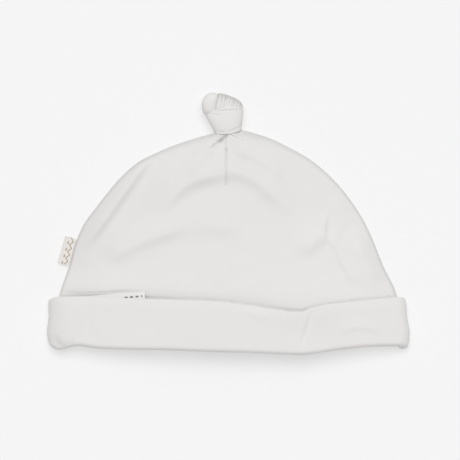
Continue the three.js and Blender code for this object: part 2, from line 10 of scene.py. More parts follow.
import bpy
import numpy as np
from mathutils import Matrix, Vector


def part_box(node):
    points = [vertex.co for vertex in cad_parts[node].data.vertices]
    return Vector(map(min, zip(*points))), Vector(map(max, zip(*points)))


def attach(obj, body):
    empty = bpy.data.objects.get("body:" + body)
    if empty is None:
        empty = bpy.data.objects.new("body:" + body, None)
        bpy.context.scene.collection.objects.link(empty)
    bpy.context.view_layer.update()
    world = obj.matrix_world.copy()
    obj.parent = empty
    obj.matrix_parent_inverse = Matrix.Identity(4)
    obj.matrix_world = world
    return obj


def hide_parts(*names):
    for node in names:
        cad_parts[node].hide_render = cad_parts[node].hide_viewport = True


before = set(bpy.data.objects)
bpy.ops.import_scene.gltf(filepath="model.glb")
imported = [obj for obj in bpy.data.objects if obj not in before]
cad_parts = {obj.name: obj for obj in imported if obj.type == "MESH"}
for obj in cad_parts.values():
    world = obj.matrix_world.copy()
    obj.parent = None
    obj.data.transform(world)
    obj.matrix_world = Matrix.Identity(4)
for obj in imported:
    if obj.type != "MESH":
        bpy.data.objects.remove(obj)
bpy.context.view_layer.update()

MM = 0.001
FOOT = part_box("cuff")[0].y / MM

# Sizes of the crown. Powers say how square or sharp a curve is, and a run is how far it reaches.
CROWN_HEIGHT = 104.0
CROWN_SPREAD = 1.0
CROWN_WALL = 1.2
CROWN_PUFF = 9.0
NECK_WIDTH = 13.5
NECK_TILT = 1.4
NECK_TILT_ROWS = 0.08
SEAM_GAP = 0.08
SEAM_HEIGHT = 9.0
EDGE_LIFT = 0.6
EDGE_POWER = 20
LEVEL_POWER = 3
ARCH_POWER = 0.8
SETTLE_RUN = 12.0
LIFT_RUN = 15.0
SOFT_RUN = 55.0
GROOVE_PLACE = -0.1
GROOVE_RUN = 0.9
FALL_RUN = 3.3
FOLD_START = 0.06
FOLD_FADE = 0.2
HIDDEN_ROWS = 0.2  # share of the crown's rows that lie behind the cuff
INSET_REACH = 5  # the inner points are pushed in from the edge over this many walls

# Sizes of the cuff. Pairs are for its left and its right end.
CUFF_WIDTH = 170.0
CUFF_DEPTH = 27.0
CUFF_WALL = 2.0
LAYER_GAP = 0.5
END_ROOM = 3.5
LIP_DROP = 0.3
FOLD_RISE = 2.1
CUFF_END_LEFT = 7.0
CUFF_END_RIGHT = 5.0
END_SHIFT = (0.0, 0.6)
END_FULLNESS = (0.6, 0.8)
END_WAVE = 0.22
END_WAVE_PLACE = 11.5
END_WAVE_LENGTH = 12.5
TOP_TAPER = (1.0, 2.6)
FOOT_TAPER = (3.0, 1.8)
FOOT_RUN = 0.35
CORNER_DROP = 0.055
CUFF_FLARE = 1.6
FLARE_REACH = 0.2
FLARE_START = 0.3
EDGE_THIN = 0.85
EDGE_THIN_RUN = 4.0
EDGE_ROUND = 0.6
BACK_TOP = 0.96
BACK_FOOT = 0.165

# Sizes of the knot
KNOT_HEIGHT = 19.0
KNOT_SWELL = 5.7
KNOT_DEPTH = 12.0
KNOT_WALL = 1.2
KNOT_FOOT = CROWN_HEIGHT + 0.1
KNOT_ROUND = (0.85, 0.65)
BAND_LAP = 0.45
BAND_ROLL = 0.955
BAND_FRONT = (0.3, 0.7)
BAND_LAP_FRONT = (0.7, 0.82)
BAND_INSIDE = (0.85, 0.7, 0.4, 0.25)
BAND_INSIDE_FOOT = ((0.1, 0.8), (0.0, 0.35))
GATHER_COUNT = 10
GATHER_DEPTH = 0.5
GATHER_HALF = 5.0
GATHER_END = 0.5
GATHER_ROUND = 0.62
PLEAT_MIDDLE = 0.6
PLEAT_REACH = 0.05
PLEAT_START_POWER = 0.7
PLEAT_ROUND = 0.5
PLEAT_POWER = 0.5
PLEAT_SHIFTS = ((0.018, 3.3, 0.6), (0.01, 7.1, 0))
ROOT_SHARE = 0.04
ROOT_REACH = 0.2
ROOT_EDGE = 0.2
ROOT_GAP = 0.9

# Sizes of the tag, and of its zigzag and dots, whose rows are measured round the folded ribbon
TAG_LENGTH = 13.0
TAG_REACH = 5.6
TAG_START = 0.3
TAG_WALL = 0.36
TAG_FULL = 1.15
TAG_RISE = 0.274
TAG_CURL = 0.35
TAG_CURL_SHIFT = 0.4
TAG_PITCH = 3.2
TAG_SLOPE = 0.9
TAG_ROW = 9.0
TAG_DOTS = 8.1
TAG_DOT_SHARE = 0.4
TAG_LINE = 0.3

# Sizes of the label and of its dashes. LABEL_PEEK is how far it rises above the cuff's depth.
LABEL_WIDTH = 30.0
LABEL_WALL = 0.4
LABEL_TURN = math.radians(5)
LABEL_PEEK = 3.0
LABEL_PLACE = -0.459
LABEL_RISE = 0.3
LABEL_CURL = 0.15
LABEL_GAP = 1.0
LABEL_DASH = 2.6
LABEL_DASH_SHARE = 0.55
LABEL_DASH_ROW = 2.2
LABEL_DASH_HALF = 0.4
LABEL_DASH_REACH = (32.0, 41.0)

# Painted shade: darkening of the cloth's colour, as shares of the way to its darkest tone
TOP_SHADE = 0.03
TOP_SHADE_RISE = (0.1, 0.7)
SEAM_SHADE = 0.15
SEAM_SHADE_RUN = 0.9
SIDE_SHADE = 0.045
LEFT_SHADE_RUN = 16.0
LEFT_SHADE_FADE = (0.35, 0.9)
RIGHT_SHADE_RUN = 7.0
RIGHT_SHADE_FADE = (0.1, 0.45)
LINE_SHADE = 0.13
END_SHADE = 0.045
END_SHADE_START = 5.0
END_SHADE_RUN = 10.0
FOOT_SHADE = 0.012
FOOT_SHADE_RUN = 0.9
GATHER_SHADE = 0.32
PLEAT_SHADE = 0.85
RIM_SHADE = 0.75
RIM_SHADE_RUN = 0.26

# Ripples of the cloth, each with its height, length and seed
WAVE_STRETCH = (0.7, 1.6)
FRONT_RIPPLES = ((0.12, 26, 3), (0.05, 9, 5))
CUFF_RIPPLES = ((0.12, 22, 11),)
LOOP_RIPPLES = ((0.03, 7, 31),)

# How finely the meshes are divided: columns and rows, or stations along and round a piece
FRONT_GRID = (240, 170)
BACK_GRID = (120, 90)
CUFF_GRID = (420, 140, 30)
LIP_ROWS = 4
OUTSIDE_ROWS = 26
INSIDE_ROWS = 12
FOLD_STEP = 15  # degrees between the rows of a bend
RIM_STEP = 18
FLOOR_STEP = 30
BAND_GRID = (160, 56)
GATHER_GRID = (200, 44)
LOOP_GRID = (72, 60)
ROOT_COLUMNS = 24
TAG_ROWS = 40
TAG_COLUMNS = 12
TAG_TURNS = 9
LABEL_GRID = (24, 60)
ROW_POWER = 1.1
ROLLED_SHARES = (0, 0.0006, 0.0018, 0.0036, 0.006, 0.009, 0.0125, 0.0165)
EVEN_START = 0.021
SHARP_ANGLE = math.radians(55)

# Colours and weaves
JERSEY_COLOUR = (0.814, 0.806, 0.796)
BAND_COLOUR = (0.812, 0.802, 0.789)
# the label's satin: its own white, set a little darker as painted shade for the shade on it
SATIN_COLOURS = ((0.77, 0.762, 0.75), (0.815, 0.807, 0.795))
RIBBON_COLOURS = ((0.79, 0.765, 0.725), (0.84, 0.815, 0.775))
DASH_COLOUR = (0.16, 0.16, 0.16)
ZIGZAG_COLOUR = (0.45, 0.35, 0.26)
TONE_SHARES = (0.97, 1.02)
# how dark the painted shade can make the jersey, as a share of its colour
DEEP_SHARE = 0.1
WALE = 0.72
COURSE = 0.62
STITCH_SLANT = 1.2
STITCH_HEIGHT = 0.35
TONE_NOISE = (35, 4)
TONE_REACH = (0.6, 0.2)
FUZZ = (2600, 0.6)  # a noise's scale and its amount
SLACK = (90, 2.2)
KNIT_DEPTH = 0.05
KNIT_STRENGTH = 0.4
WEAVE_STRENGTH = 0.5
SATIN_WEAVE = (0.25, 0.6, 0.02)
RIBBON_WEAVE = (0.3, 0.3, 0.04)
BLOTCHES = 60

HALF_NECK = NECK_WIDTH / 2
HALF_CROWN = CUFF_WIDTH / 2 - CUFF_WALL - END_ROOM
HALF_CUFF = CUFF_WIDTH / 2
CROWN_RUN = CROWN_HEIGHT - CUFF_DEPTH
CUFF_RAISE = CUFF_WALL + LAYER_GAP
NECK_LEVEL = KNOT_DEPTH / 2
KNOT_WIDTH = NECK_WIDTH + KNOT_SWELL

# Sections of the crown from the neck down to the cuff's top edge: heights of the ends and middle
# above the cuff, half widths from the neck's at 0 to the crown's at 1, air under the front panel,
# and how far the seams are drawn up to the knot
CROWN_SECTIONS = {
    "side": (1, 0.972, 0.928, 0.879, 0.824, 0.733, 0.636, 0.54, 0.444, 0.33, 0.193, 0.07, 0),
    "middle": (1, 0.925, 0.853, 0.79, 0.73, 0.645, 0.56, 0.474, 0.395, 0.296, 0.174, 0.061, 0),
    "left": (0, 0.112, 0.256, 0.377, 0.49, 0.6, 0.688, 0.767, 0.84, 0.893, 0.933, 0.978, 1),
    "right": (0, 0.17, 0.273, 0.373, 0.464, 0.574, 0.665, 0.738, 0.798, 0.852, 0.91, 0.975, 1),
    "puff": (0.3, 0.4, 0.51, 0.61, 0.7, 0.8, 0.88, 0.94, 0.98, 1, 1, 1, 1),
    "gather": (1, 0.72, 0.44, 0.22, 0.08, 0, 0, 0, 0, 0, 0, 0, 0),
}

# Edges of the cuff across the front, as shares of half its width and of its depth
CUFF_TOP = {
    "across": (-1, -0.95, -0.88, -0.75, -0.61, -0.335, -0.06, 0.15, 0.29, 0.41, 0.455, 0.54, 0.635,
               0.78, 1),
    "rise": (0.89, 1, 1.015, 1.015, 1, 0.968, 0.94, 0.858, 0.785, 0.757, 0.812, 0.875, 0.912, 0.96,
             1.02),
}
CUFF_FOOT = {
    "across": (-1, -0.93, -0.885, -0.84, -0.79, -0.7, -0.56, -0.335, -0.06, 0.15, 0.29, 0.41, 0.46,
               0.54, 0.635, 0.78, 1),
    "rise": (0.12, 0.088, 0.1, 0.14, 0.155, 0.118, 0.1, 0.09, 0.058, 0.042, 0.02, 0.008, 0.022,
             0.058, 0.1, 0.144, 0.15),
}
# How far the front panel sinks along the cuff's top edge: in a narrow groove, and in a wide fall
EDGE_GAPS = {
    "across": (-1, -0.7, -0.4, -0.2, 0.2, 0.4, 0.47, 1),
    "groove": (0.8, 1.0, 0.9, 0.5, 0.45, 1.0, 0.4, 0.4),
    "fall": (0.8, 1.1, 0.9, 0.8, 0.8, 0.4, 0.15, 0.1),
}


def smoothstep(start, end, value):
    share = np.clip((value - start) / (end - start), 0, 1)
    return share * share * (3 - 2 * share)


def bell(offset, width):
    return np.exp(-((offset / width) ** 2))


def curve_through(stations, values):
    """A smooth curve through values at stations, as a function that takes numbers or arrays."""
    stations = np.asarray(stations, float)
    values = np.asarray(values, float)
    slopes = np.empty_like(values)
    slopes[1:-1] = (values[2:] - values[:-2]) / (stations[2:] - stations[:-2])
    slopes[0] = (values[1] - values[0]) / (stations[1] - stations[0])
    slopes[-1] = (values[-1] - values[-2]) / (stations[-1] - stations[-2])

    def curve(t):
        i = np.clip(np.searchsorted(stations, t, side="left") - 1, 0, len(stations) - 2)
        run = stations[i + 1] - stations[i]
        f = np.clip((t - stations[i]) / run, 0, 1)
        g = 1 - f
        bend = f * g * g * slopes[i] - f * f * g * slopes[i + 1]
        return values[i] * g * g * (1 + 2 * f) + values[i + 1] * f * f * (3 - 2 * f) + run * bend

    return curve


def ripples(x, y, length, seed, waves=7):
    """Gentle irregular waves between about -1 and 1, each about length long."""
    draw = np.random.default_rng(seed)
    total = np.zeros(np.broadcast(x, y).shape)
    for _ in range(waves):
        angle, phase = draw.uniform(0, 2 * math.pi, 2)
        stretch = length * draw.uniform(*WAVE_STRETCH)
        along = x * math.cos(angle) + y * math.sin(angle)
        total += np.sin(2 * math.pi * along / stretch + phase)
    return total / math.sqrt(waves * 2)


def with_ripples(values, x, y, table):
    """Values with each of a table's ripples added."""
    for height, length, seed in table:
        values = values + height * ripples(x, y, length, seed)
    return values


crown_at = {
    name: curve_through(np.linspace(0, 1, len(values)), values)
    for name, values in CROWN_SECTIONS.items()
}
cuff_top_at = curve_through(CUFF_TOP["across"], CUFF_TOP["rise"])
cuff_foot_at = curve_through(CUFF_FOOT["across"], CUFF_FOOT["rise"])
groove_at = curve_through(EDGE_GAPS["across"], EDGE_GAPS["groove"])
fall_at = curve_through(EDGE_GAPS["across"], EDGE_GAPS["fall"])


def lerp(a, b, share):
    return a + (b - a) * share


def lift_at(y):
    return CUFF_RAISE * (1 - smoothstep(CUFF_DEPTH, CUFF_DEPTH + LIFT_RUN, y))


def hidden_half(y):
    return HALF_CROWN + CROWN_SPREAD * (CUFF_DEPTH - y) / (CUFF_DEPTH - SEAM_HEIGHT)


def seam_level(y, gather):
    shown = smoothstep(CUFF_DEPTH, CUFF_DEPTH + LIFT_RUN, y)
    at_rest = lift_at(y) + EDGE_LIFT * shown + CROWN_WALL + SEAM_GAP / 2
    return lerp(at_rest, NECK_LEVEL, gather)


def soft_level(y):
    """Height of the seams as the middle of the front panel takes it, over a longer run."""
    shown = smoothstep(CUFF_DEPTH, CUFF_DEPTH + SOFT_RUN, y)
    return CUFF_RAISE * (1 - shown) + EDGE_LIFT * shown + CROWN_WALL + SEAM_GAP / 2


def cuff_shadow_dip(x, y):
    """The front panel sinks a little along the cuff's top edge."""
    across = x / HALF_CUFF
    above = y - CUFF_DEPTH * cuff_top_at(across)
    groove = groove_at(across) * bell(above - GROOVE_PLACE, GROOVE_RUN)
    fall = fall_at(across) * bell(above, FALL_RUN)
    return groove + fall


def arch_at(across):
    return np.maximum(1 - across * across, 0) ** ARCH_POWER


def away_from_edge(across):
    """1 over most of a panel, falling to 0 at its edges."""
    return 1 - np.abs(across) ** EDGE_POWER


def path_through(points, count=24):
    """Evenly spread points on a smooth curve through a few points."""
    points = np.asarray(points, float)
    steps = np.concatenate(((0,), np.cumsum(np.linalg.norm(np.diff(points, axis=0), axis=1))))
    at = np.linspace(0, steps[-1], count)
    return np.stack([curve_through(steps, points[:, axis])(at) for axis in (0, 1)], axis=-1)


def fold_at(path, left, right, fade, x, y):
    """Share of a fold's height at points: 1 on its crest, with its own width on either side."""
    crest = path_through(path)
    run = np.linalg.norm(crest[-1] - crest[0])
    best = np.full(x.shape, np.inf)
    share = np.zeros(x.shape)
    for k, (a, b) in enumerate(zip(crest[:-1], crest[1:])):
        line = b - a
        length = math.hypot(*line)
        raw = ((x - a[0]) * line[0] + (y - a[1]) * line[1]) / length**2
        low = -run / length if k == 0 else 0
        high = run / length if k == len(crest) - 2 else 1
        f = np.clip(raw, low, high)
        off_x = x - a[0] - f * line[0]
        off_y = y - a[1] - f * line[1]
        distance = np.hypot(off_x, off_y)
        side = line[0] * off_y - line[1] * off_x
        width = np.where(side > 0, left, right)
        along = (k + f) / (len(crest) - 1)
        taper = smoothstep(-fade, fade, along) * (1 - smoothstep(1 - fade, 1 + fade, along))
        nearer = distance < best
        share = np.where(nearer, taper * bell(distance, width), share)
        best = np.where(nearer, distance, best)
    return share


def folds_at(folds, half_width, run, x, y):
    """The sum of a table's folds, whose points are shares of a half width and of a run."""
    x, y = np.broadcast_arrays(np.asarray(x, float), np.asarray(y, float))
    total = np.zeros(x.shape)
    for fold in folds:
        path = [(across * half_width, rise * run) for across, rise in fold.path]
        total += fold.height * fold_at(path, fold.left, fold.right, fold.fade, x, y)
    return total


# A fold: its height, below 0 for a valley, and its widths to the left and right of its path as
# that runs, all in millimetres; the path along its crest; and the share of the path over which it
# fades out at either end.
Fold = namedtuple("Fold", "height left right path fade", defaults=(FOLD_FADE,))

# Folds of the front panel, by shares of half the crown's width and of the crown above the cuff
FRONT_FOLDS = (
    Fold(3.7, 2.9, 6.0, ((-0.465, 0.87), (-0.66, 0.585), (-0.825, 0.345)), 0.25),
    Fold(2.9, 9.0, 3.8, ((-0.37, 0.57), (-0.27, 0.675), (-0.16, 0.73), (-0.03, 0.755)), 0.35),
    Fold(2.2, 9.0, 3.8, ((-0.01, 0.78), (0.11, 0.745), (0.2, 0.69), (0.32, 0.575)), 0.35),
    Fold(1.9, 9.0, 3.8, ((-0.68, 0.25), (-0.56, 0.322), (-0.43, 0.377), (-0.3, 0.412))),
    Fold(1.2, 9.0, 5.0, ((-0.34, 0.44), (-0.18, 0.45), (0.05, 0.43))),
    Fold(0.9, 2.4, 3.2, ((-0.09, 0.93), (-0.15, 0.86), (-0.22, 0.77))),
    Fold(0.9, 4.0, 2.2, ((0.06, 0.89), (0.15, 0.86), (0.25, 0.79), (0.3, 0.73))),
    Fold(1.3, 1.2, 4.0, ((0.577, 0.49), (0.567, 0.42), (0.563, 0.34)), 0.4),
    Fold(1.4, 8.0, 3.3, ((0.455, 0.28), (0.525, 0.375)), 0.4),
    Fold(1.2, 3.4, 2.0, ((0.577, 0.37), (0.63, 0.32), (0.675, 0.22), (0.74, 0.1))),
    Fold(0.6, 3.4, 1.8, ((0.84, 0.168), (0.935, 0.128)), 0.35),
    Fold(0.3, 3.4, 2.2, ((0.5, 0.71), (0.51, 0.63), (0.55, 0.56))),
    Fold(0.3, 3.4, 2.2, ((0.6, 0.6), (0.68, 0.52))),
    Fold(2.4, 4.5, 7.0, ((0.76, 0.36), (0.82, 0.22), (0.87, 0.12)), 0.35),
    Fold(-0.3, 3.0, 3.0, ((-0.84, 0.2), (-0.9, 0.08))),
    Fold(-0.25, 5.0, 5.0, ((0.22, 0.6), (0.24, 0.42))),
)
# Narrow grooves of the front panel, whose colour is also darkened with painted shade: the dart
# below the neck, the creases beside it, and one along the cuff's left end, which paints the thin
# shadow line above the label
FRONT_LINES = (
    Fold(-0.75, 0.45, 0.45, ((-0.012, 0.905), (-0.011, 0.8), (-0.009, 0.675)), 0.06),
    Fold(-1.6, 0.45, 0.75, ((-0.004, 0.99), (-0.019, 0.973), (-0.05, 0.945)), 0.15),
    Fold(-0.9, 0.35, 0.55, ((-0.035, 0.962), (-0.1, 0.908)), 0.2),
    Fold(-0.5, 0.35, 0.35, ((-0.014, 0.965), (-0.018, 0.93), (-0.008, 0.89)), 0.15),
    Fold(-0.6, 0.5, 0.5, ((-0.984, 0.029), (-0.788, 0.026), (-0.592, 0.038)), 0.15),
    Fold(-0.5, 0.5, 0.5, ((0.012, 0.99), (0.055, 0.968), (0.1, 0.95)), 0.15),
)
# Folds of the cuff, by shares of half its width and of its depth
CUFF_FOLDS = (
    Fold(-0.55, 0.9, 1.6, ((0.468, 0.78), (0.44, 0.45), (0.4, 0.17))),
    Fold(-0.4, 1.0, 2.5, ((0.4, 0.72), (0.385, 0.27))),
    Fold(0.2, 1.2, 1.2, ((0.43, 0.76), (0.405, 0.42))),
    Fold(-0.25, 2.4, 2.4, ((-0.76, 0.9), (-0.77, 0.3))),
    Fold(0.5, 4.0, 1.4, ((0.63, 0.42), (0.72, 0.49), (0.82, 0.44))),
    Fold(0.35, 3.0, 3.4, ((-0.82, 0.86), (-0.85, 0.55), (-0.88, 0.26))),
    Fold(0.3, 3.0, 2.0, ((0.12, 0.74), (0.22, 0.66))),
    Fold(-0.6, 1.6, 0.9, ((-0.94, 0.17), (-0.9, 0.15), (-0.855, 0.21))),
)
# Painted shadow in the tucked corner at the cuff's bottom left, with its share as the fold's
# height
CUFF_TUCK = (
    Fold(0.11, 1.5, 1.1, ((-0.95, 0.33), (-0.92, 0.19), (-0.885, 0.135), (-0.845, 0.15))),
)
# Pleats from the neck: across, half width, height as a share of CROWN_WALL, and reach
NECK_PLEATS = (
    (-0.62, 0.13, 0.5, 0.16),
    (-0.3, 0.1, -0.3, 0.12),
    (0.24, 0.12, 0.5, 0.18),
    (0.6, 0.12, -0.4, 0.16),
)


def front_folds_at(x, y, across, v):
    """Height of the front panel's folds, lines, pleats and ripples, which start above the cuff."""
    above = y - CUFF_DEPTH
    height = folds_at(FRONT_FOLDS, HALF_CROWN, CROWN_RUN, x, above)
    height = height + folds_at(FRONT_LINES, HALF_CROWN, CROWN_RUN, x, above)
    for place, width, depth, reach in NECK_PLEATS:
        taper = 1 - smoothstep(reach / 2, reach, v)
        height = height + depth * CROWN_WALL * taper * bell(across - place, width)
    height = with_ripples(height, x, y, FRONT_RIPPLES)
    return height * smoothstep(0, FOLD_START, above / CROWN_RUN) * away_from_edge(across)


def seam_squareness(seam, side):
    """Distance square to a seam as a share of the distance along a section, row by row."""
    if len(seam) < 3:
        return np.ones_like(seam)
    run = np.gradient(seam[:, 0])
    drop = np.gradient(side[:, 0])
    return (np.abs(drop) / np.hypot(run, drop))[:, None]


def edge_roll(distance):
    """Height of a rounded edge of cloth at a distance in from it."""
    inside = np.clip(1 - distance / CROWN_WALL, 0, 1)
    return CROWN_WALL * np.sqrt(1 - inside * inside)


def front_level(x, y, half):
    """Outside of the front's cloth behind the cuff, arched over a half width."""
    across = np.clip(x / half, -1, 1)
    return seam_level(y, 0) + SEAM_GAP / 2 + CROWN_WALL + CROWN_PUFF * arch_at(across)


def hidden_front(x, y):
    """Outside of the front panel where the cuff hides it."""
    return front_level(x, y, hidden_half(y))


def neck_tilt(x):
    """The neck's edge and the knot's foot rise towards the right."""
    return NECK_TILT * smoothstep(0, HALF_NECK, x)


def panel_points(v, t, inset, is_front, is_outer):
    """Points of a crown panel: v runs from the neck to the foot, t across from the left."""
    v = v[:, None]
    t = t[None, :]
    shown = np.clip(v / (1 - HIDDEN_ROWS), 0, 1)
    hidden = np.clip((v - 1 + HIDDEN_ROWS) / HIDDEN_ROWS, 0, 1)
    behind = v > 1 - HIDDEN_ROWS
    straight = lerp(CUFF_DEPTH, SEAM_HEIGHT, hidden)

    def half(edge):
        shape = lerp(HALF_NECK, HALF_CROWN, crown_at[edge](shown))
        return np.where(behind, hidden_half(straight), shape)

    def level_of(line):
        return np.where(behind, straight, CUFF_DEPTH + CROWN_RUN * crown_at[line](shown))

    left = -half("left")
    right = half("right")
    side = level_of("side")
    middle = level_of("middle")
    puff = np.where(behind, 1, crown_at["puff"](shown))
    gather = np.where(behind, 0, np.maximum(crown_at["gather"](shown), 0))
    width = right - left
    nearest = np.minimum(t, 1 - t) * width
    pushed = nearest + inset * np.maximum(1 - nearest / (INSET_REACH * CROWN_WALL), 0)
    on_left = t <= 0.5
    squareness = np.where(on_left, seam_squareness(left, side), seam_squareness(right, side))
    u = np.where(on_left, pushed / width, 1 - pushed / width)
    across = 2 * u - 1
    x = lerp(left, right, u)
    y = middle + (side - middle) * across * across
    y = y + neck_tilt(x) * (1 - smoothstep(0, NECK_TILT_ROWS, v))
    level = seam_level(y, gather)
    roll = edge_roll(pushed * squareness) if is_outer else 0
    if is_front:
        soft = lerp(soft_level(y), NECK_LEVEL, gather)
        level = lerp(soft, level, np.abs(across) ** LEVEL_POWER)
        z = level + SEAM_GAP / 2 + roll + CROWN_PUFF * puff * arch_at(across)
        z = z + front_folds_at(x, y, across, v) - cuff_shadow_dip(x, y) * away_from_edge(across)
    else:
        top = level - SEAM_GAP / 2
        fall = np.maximum(top - CROWN_WALL - lift_at(y), 0)
        z = top - roll - fall * smoothstep(0, SETTLE_RUN, pushed)
    return np.stack(np.broadcast_arrays(x, y, z), axis=-1)


def loft(name, rings, cloth, closed=False, shade=None):
    """A solid through rings of points. cloth gives each point's place on the flat cloth, with one
    more column, and one more row if closed: then the last ring joins the first, and otherwise
    each end ring is filled. shade is how much painted shade darkens each point's colour, along
    its seams and folds."""
    rows, size = rings.shape[:2]
    spans = rows if closed else rows - 1
    i, j = np.meshgrid(np.arange(spans), np.arange(size), indexing="ij")
    next_i = (i + 1) % rows
    next_j = (j + 1) % size
    corners = (i * size + j, next_i * size + j, next_i * size + next_j, i * size + next_j)
    places = (cloth[i, j], cloth[i + 1, j], cloth[i + 1, j + 1], cloth[i, j + 1])
    faces = [np.stack(corners, axis=-1).reshape(-1, 4)]
    flat = [np.stack(places, axis=2).reshape(-1, 4, 2)]
    if not closed:
        k = np.arange(size // 2 - 1)
        for row, turn in ((0, 1), (rows - 1, -1)):
            cap = np.stack((k, k + 1, size - 2 - k, size - 1 - k), axis=-1)[:, ::turn]
            faces.append(row * size + cap)
            flat.append(cloth[row][cap])
    points = rings.reshape(-1, 3) * MM
    points[:, 1] += FOOT * MM
    values = np.zeros(len(points)) if shade is None else shade.ravel()
    return solid(name, points, np.concatenate(faces), np.concatenate(flat) * MM, values)


def solid(name, points, faces, flat, shade):
    """A new object from points, four-cornered faces, their places on the cloth and painted shade.
    """
    mesh = bpy.data.meshes.new(name)
    mesh.vertices.add(len(points))
    mesh.vertices.foreach_set("co", points.astype(np.float32).ravel())
    mesh.loops.add(faces.size)
    mesh.loops.foreach_set("vertex_index", faces.astype(np.int32).ravel())
    mesh.polygons.add(len(faces))
    mesh.polygons.foreach_set("loop_start", np.arange(0, faces.size, 4, dtype=np.int32))
    mesh.polygons.foreach_set("use_smooth", np.ones(len(faces), bool))
    mesh.uv_layers.new(name="cloth").data.foreach_set("uv", flat.astype(np.float32).ravel())
    # the shade attribute holds painted shade, which the jersey material mixes into its colour
    shades = mesh.attributes.new("shade", "FLOAT", "POINT")
    shades.data.foreach_set("value", shade.astype(np.float32))
    mesh.update()
    mesh.validate()
    mesh.set_sharp_from_angle(angle=SHARP_ANGLE)
    piece = bpy.data.objects.new(name, mesh)
    bpy.context.scene.collection.objects.link(piece)
    return piece


def across_shares(columns):
    """Shares across a panel, close together where its edge rolls over."""
    rolled = np.array(ROLLED_SHARES)
    even = np.linspace(EVEN_START, 1 - EVEN_START, columns - 2 * len(rolled))
    return np.concatenate((rolled, even, 1 - rolled[::-1]))


def crown_panel(name, is_front, columns, rows):
    """A panel of the crown: its outside, and its inside a wall further in."""
    shares = across_shares(columns)
    v = np.linspace(0, 1, rows) ** ROW_POWER
    outer = panel_points(v, shares, 0, is_front, True)
    inner = panel_points(v, shares, CROWN_WALL, is_front, False)
    upper, lower = (outer, inner) if is_front else (inner, outer)
    rings = np.concatenate((lower, upper[:, ::-1]), axis=1)
    cloth = rings[:, :, :2]
    cloth = np.concatenate((cloth, cloth[:, :1]), axis=1)
    return loft(name, rings, cloth, shade=crown_shade(rings, is_front))


def crown_shade(rings, is_front):
    """Painted shade on a panel: darker towards its top, at its side seams and along the front's
    lines.
    """
    above = rings[:, :, 1] - CUFF_DEPTH
    shade = seam_shade(rings) + TOP_SHADE * smoothstep(*TOP_SHADE_RISE, above / CROWN_RUN)
    if is_front:
        lines = folds_at(FRONT_LINES, HALF_CROWN, CROWN_RUN, rings[:, :, 0], above)
        shade = np.maximum(shade, line_shade(lines))
    return shade


def line_shade(lines):
    """Painted shade along lines by their height, which is below 0 in a groove."""
    return np.minimum(-lines, 1) * LINE_SHADE


def seam_shade(rings):
    """Painted shade at a panel's side seams by the distance square to them: a narrow dark line,
    and a wide painted shadow that fades out higher up."""
    x = rings[:, :, 0]
    left = x.min(axis=1, keepdims=True)
    right = x.max(axis=1, keepdims=True)
    side = np.maximum(rings[:, :1, 1], rings[:, -1:, 1])
    rise = (rings[:, :, 1] - CUFF_DEPTH) / CROWN_RUN
    from_left = (x - left) * seam_squareness(left, side)
    from_right = (right - x) * seam_squareness(right, side)
    narrow = bell(from_left, SEAM_SHADE_RUN) + bell(from_right, SEAM_SHADE_RUN)
    wide_left = bell(from_left, LEFT_SHADE_RUN) * (1 - smoothstep(*LEFT_SHADE_FADE, rise))
    wide_right = bell(from_right, RIGHT_SHADE_RUN) * (1 - smoothstep(*RIGHT_SHADE_FADE, rise))
    return SEAM_SHADE * narrow + SIDE_SHADE * (wide_left + wide_right)


def cuff_end(y, side):
    """How far the cuff reaches to one side at a height: 0 is its left end and 1 its right."""
    rise = y / CUFF_DEPTH
    foot_share = np.maximum(1 - rise / FOOT_RUN, 0) ** 2
    wave = END_WAVE * np.cos(2 * math.pi * (y - END_WAVE_PLACE) / END_WAVE_LENGTH)
    taper = TOP_TAPER[side] * np.maximum(rise, 0) ** 2 + FOOT_TAPER[side] * foot_share
    return HALF_CUFF + END_SHIFT[side] - taper + wave


def flare_at(x, y):
    """The cuff stands off a little where its top edge dips."""
    dip = CUFF_TOP["across"][int(np.argmin(CUFF_TOP["rise"]))]
    run = smoothstep(CUFF_DEPTH * FLARE_START, CUFF_DEPTH, y)
    return CUFF_FLARE * bell(x / HALF_CUFF - dip, FLARE_REACH) * run


def band_front(x, y):
    """Inside of the cuff's front, with its folds."""
    folds = with_ripples(folds_at(CUFF_FOLDS, HALF_CUFF, CUFF_DEPTH, x, y), x, y, CUFF_RIPPLES)
    return front_level(x, y, HALF_CUFF) + LABEL_GAP + flare_at(x, y) + folds


def band_top(x, y):
    """Outside of the cuff's front, thinner towards its top edge."""
    below = CUFF_DEPTH * cuff_top_at(x / HALF_CUFF) - y
    return band_front(x, y) + CUFF_WALL * lerp(EDGE_THIN, 1, smoothstep(0, EDGE_THIN_RUN, below))


# The cuff's layers from the inside out: how far each reaches at a height on either side, the
# radii of its round ends, and its levels behind and in front
CUFF_LAYERS = {
    "lip_inside": {
        "end": lambda y, side: hidden_half(y) - CROWN_WALL,
        "reach": (CROWN_WALL / 2, CROWN_WALL / 2),
        "low": CUFF_RAISE + CROWN_WALL,
        "high": lambda x, y: hidden_front(x, y) - CROWN_WALL,
    },
    "lip_outside": {
        "end": lambda y, side: hidden_half(y),
        "reach": (CROWN_WALL, CROWN_WALL),
        "low": CUFF_RAISE,
        "high": hidden_front,
    },
    "band_inside": {
        "end": lambda y, side: cuff_end(y, side) - CUFF_WALL,
        "reach": (CUFF_END_LEFT - CUFF_WALL, CUFF_END_RIGHT - CUFF_WALL),
        "low": CUFF_WALL,
        "high": band_front,
    },
    "band_outside": {
        "end": cuff_end,
        "reach": (CUFF_END_LEFT, CUFF_END_RIGHT),
        "low": 0.0,
        "high": band_top,
    },
}


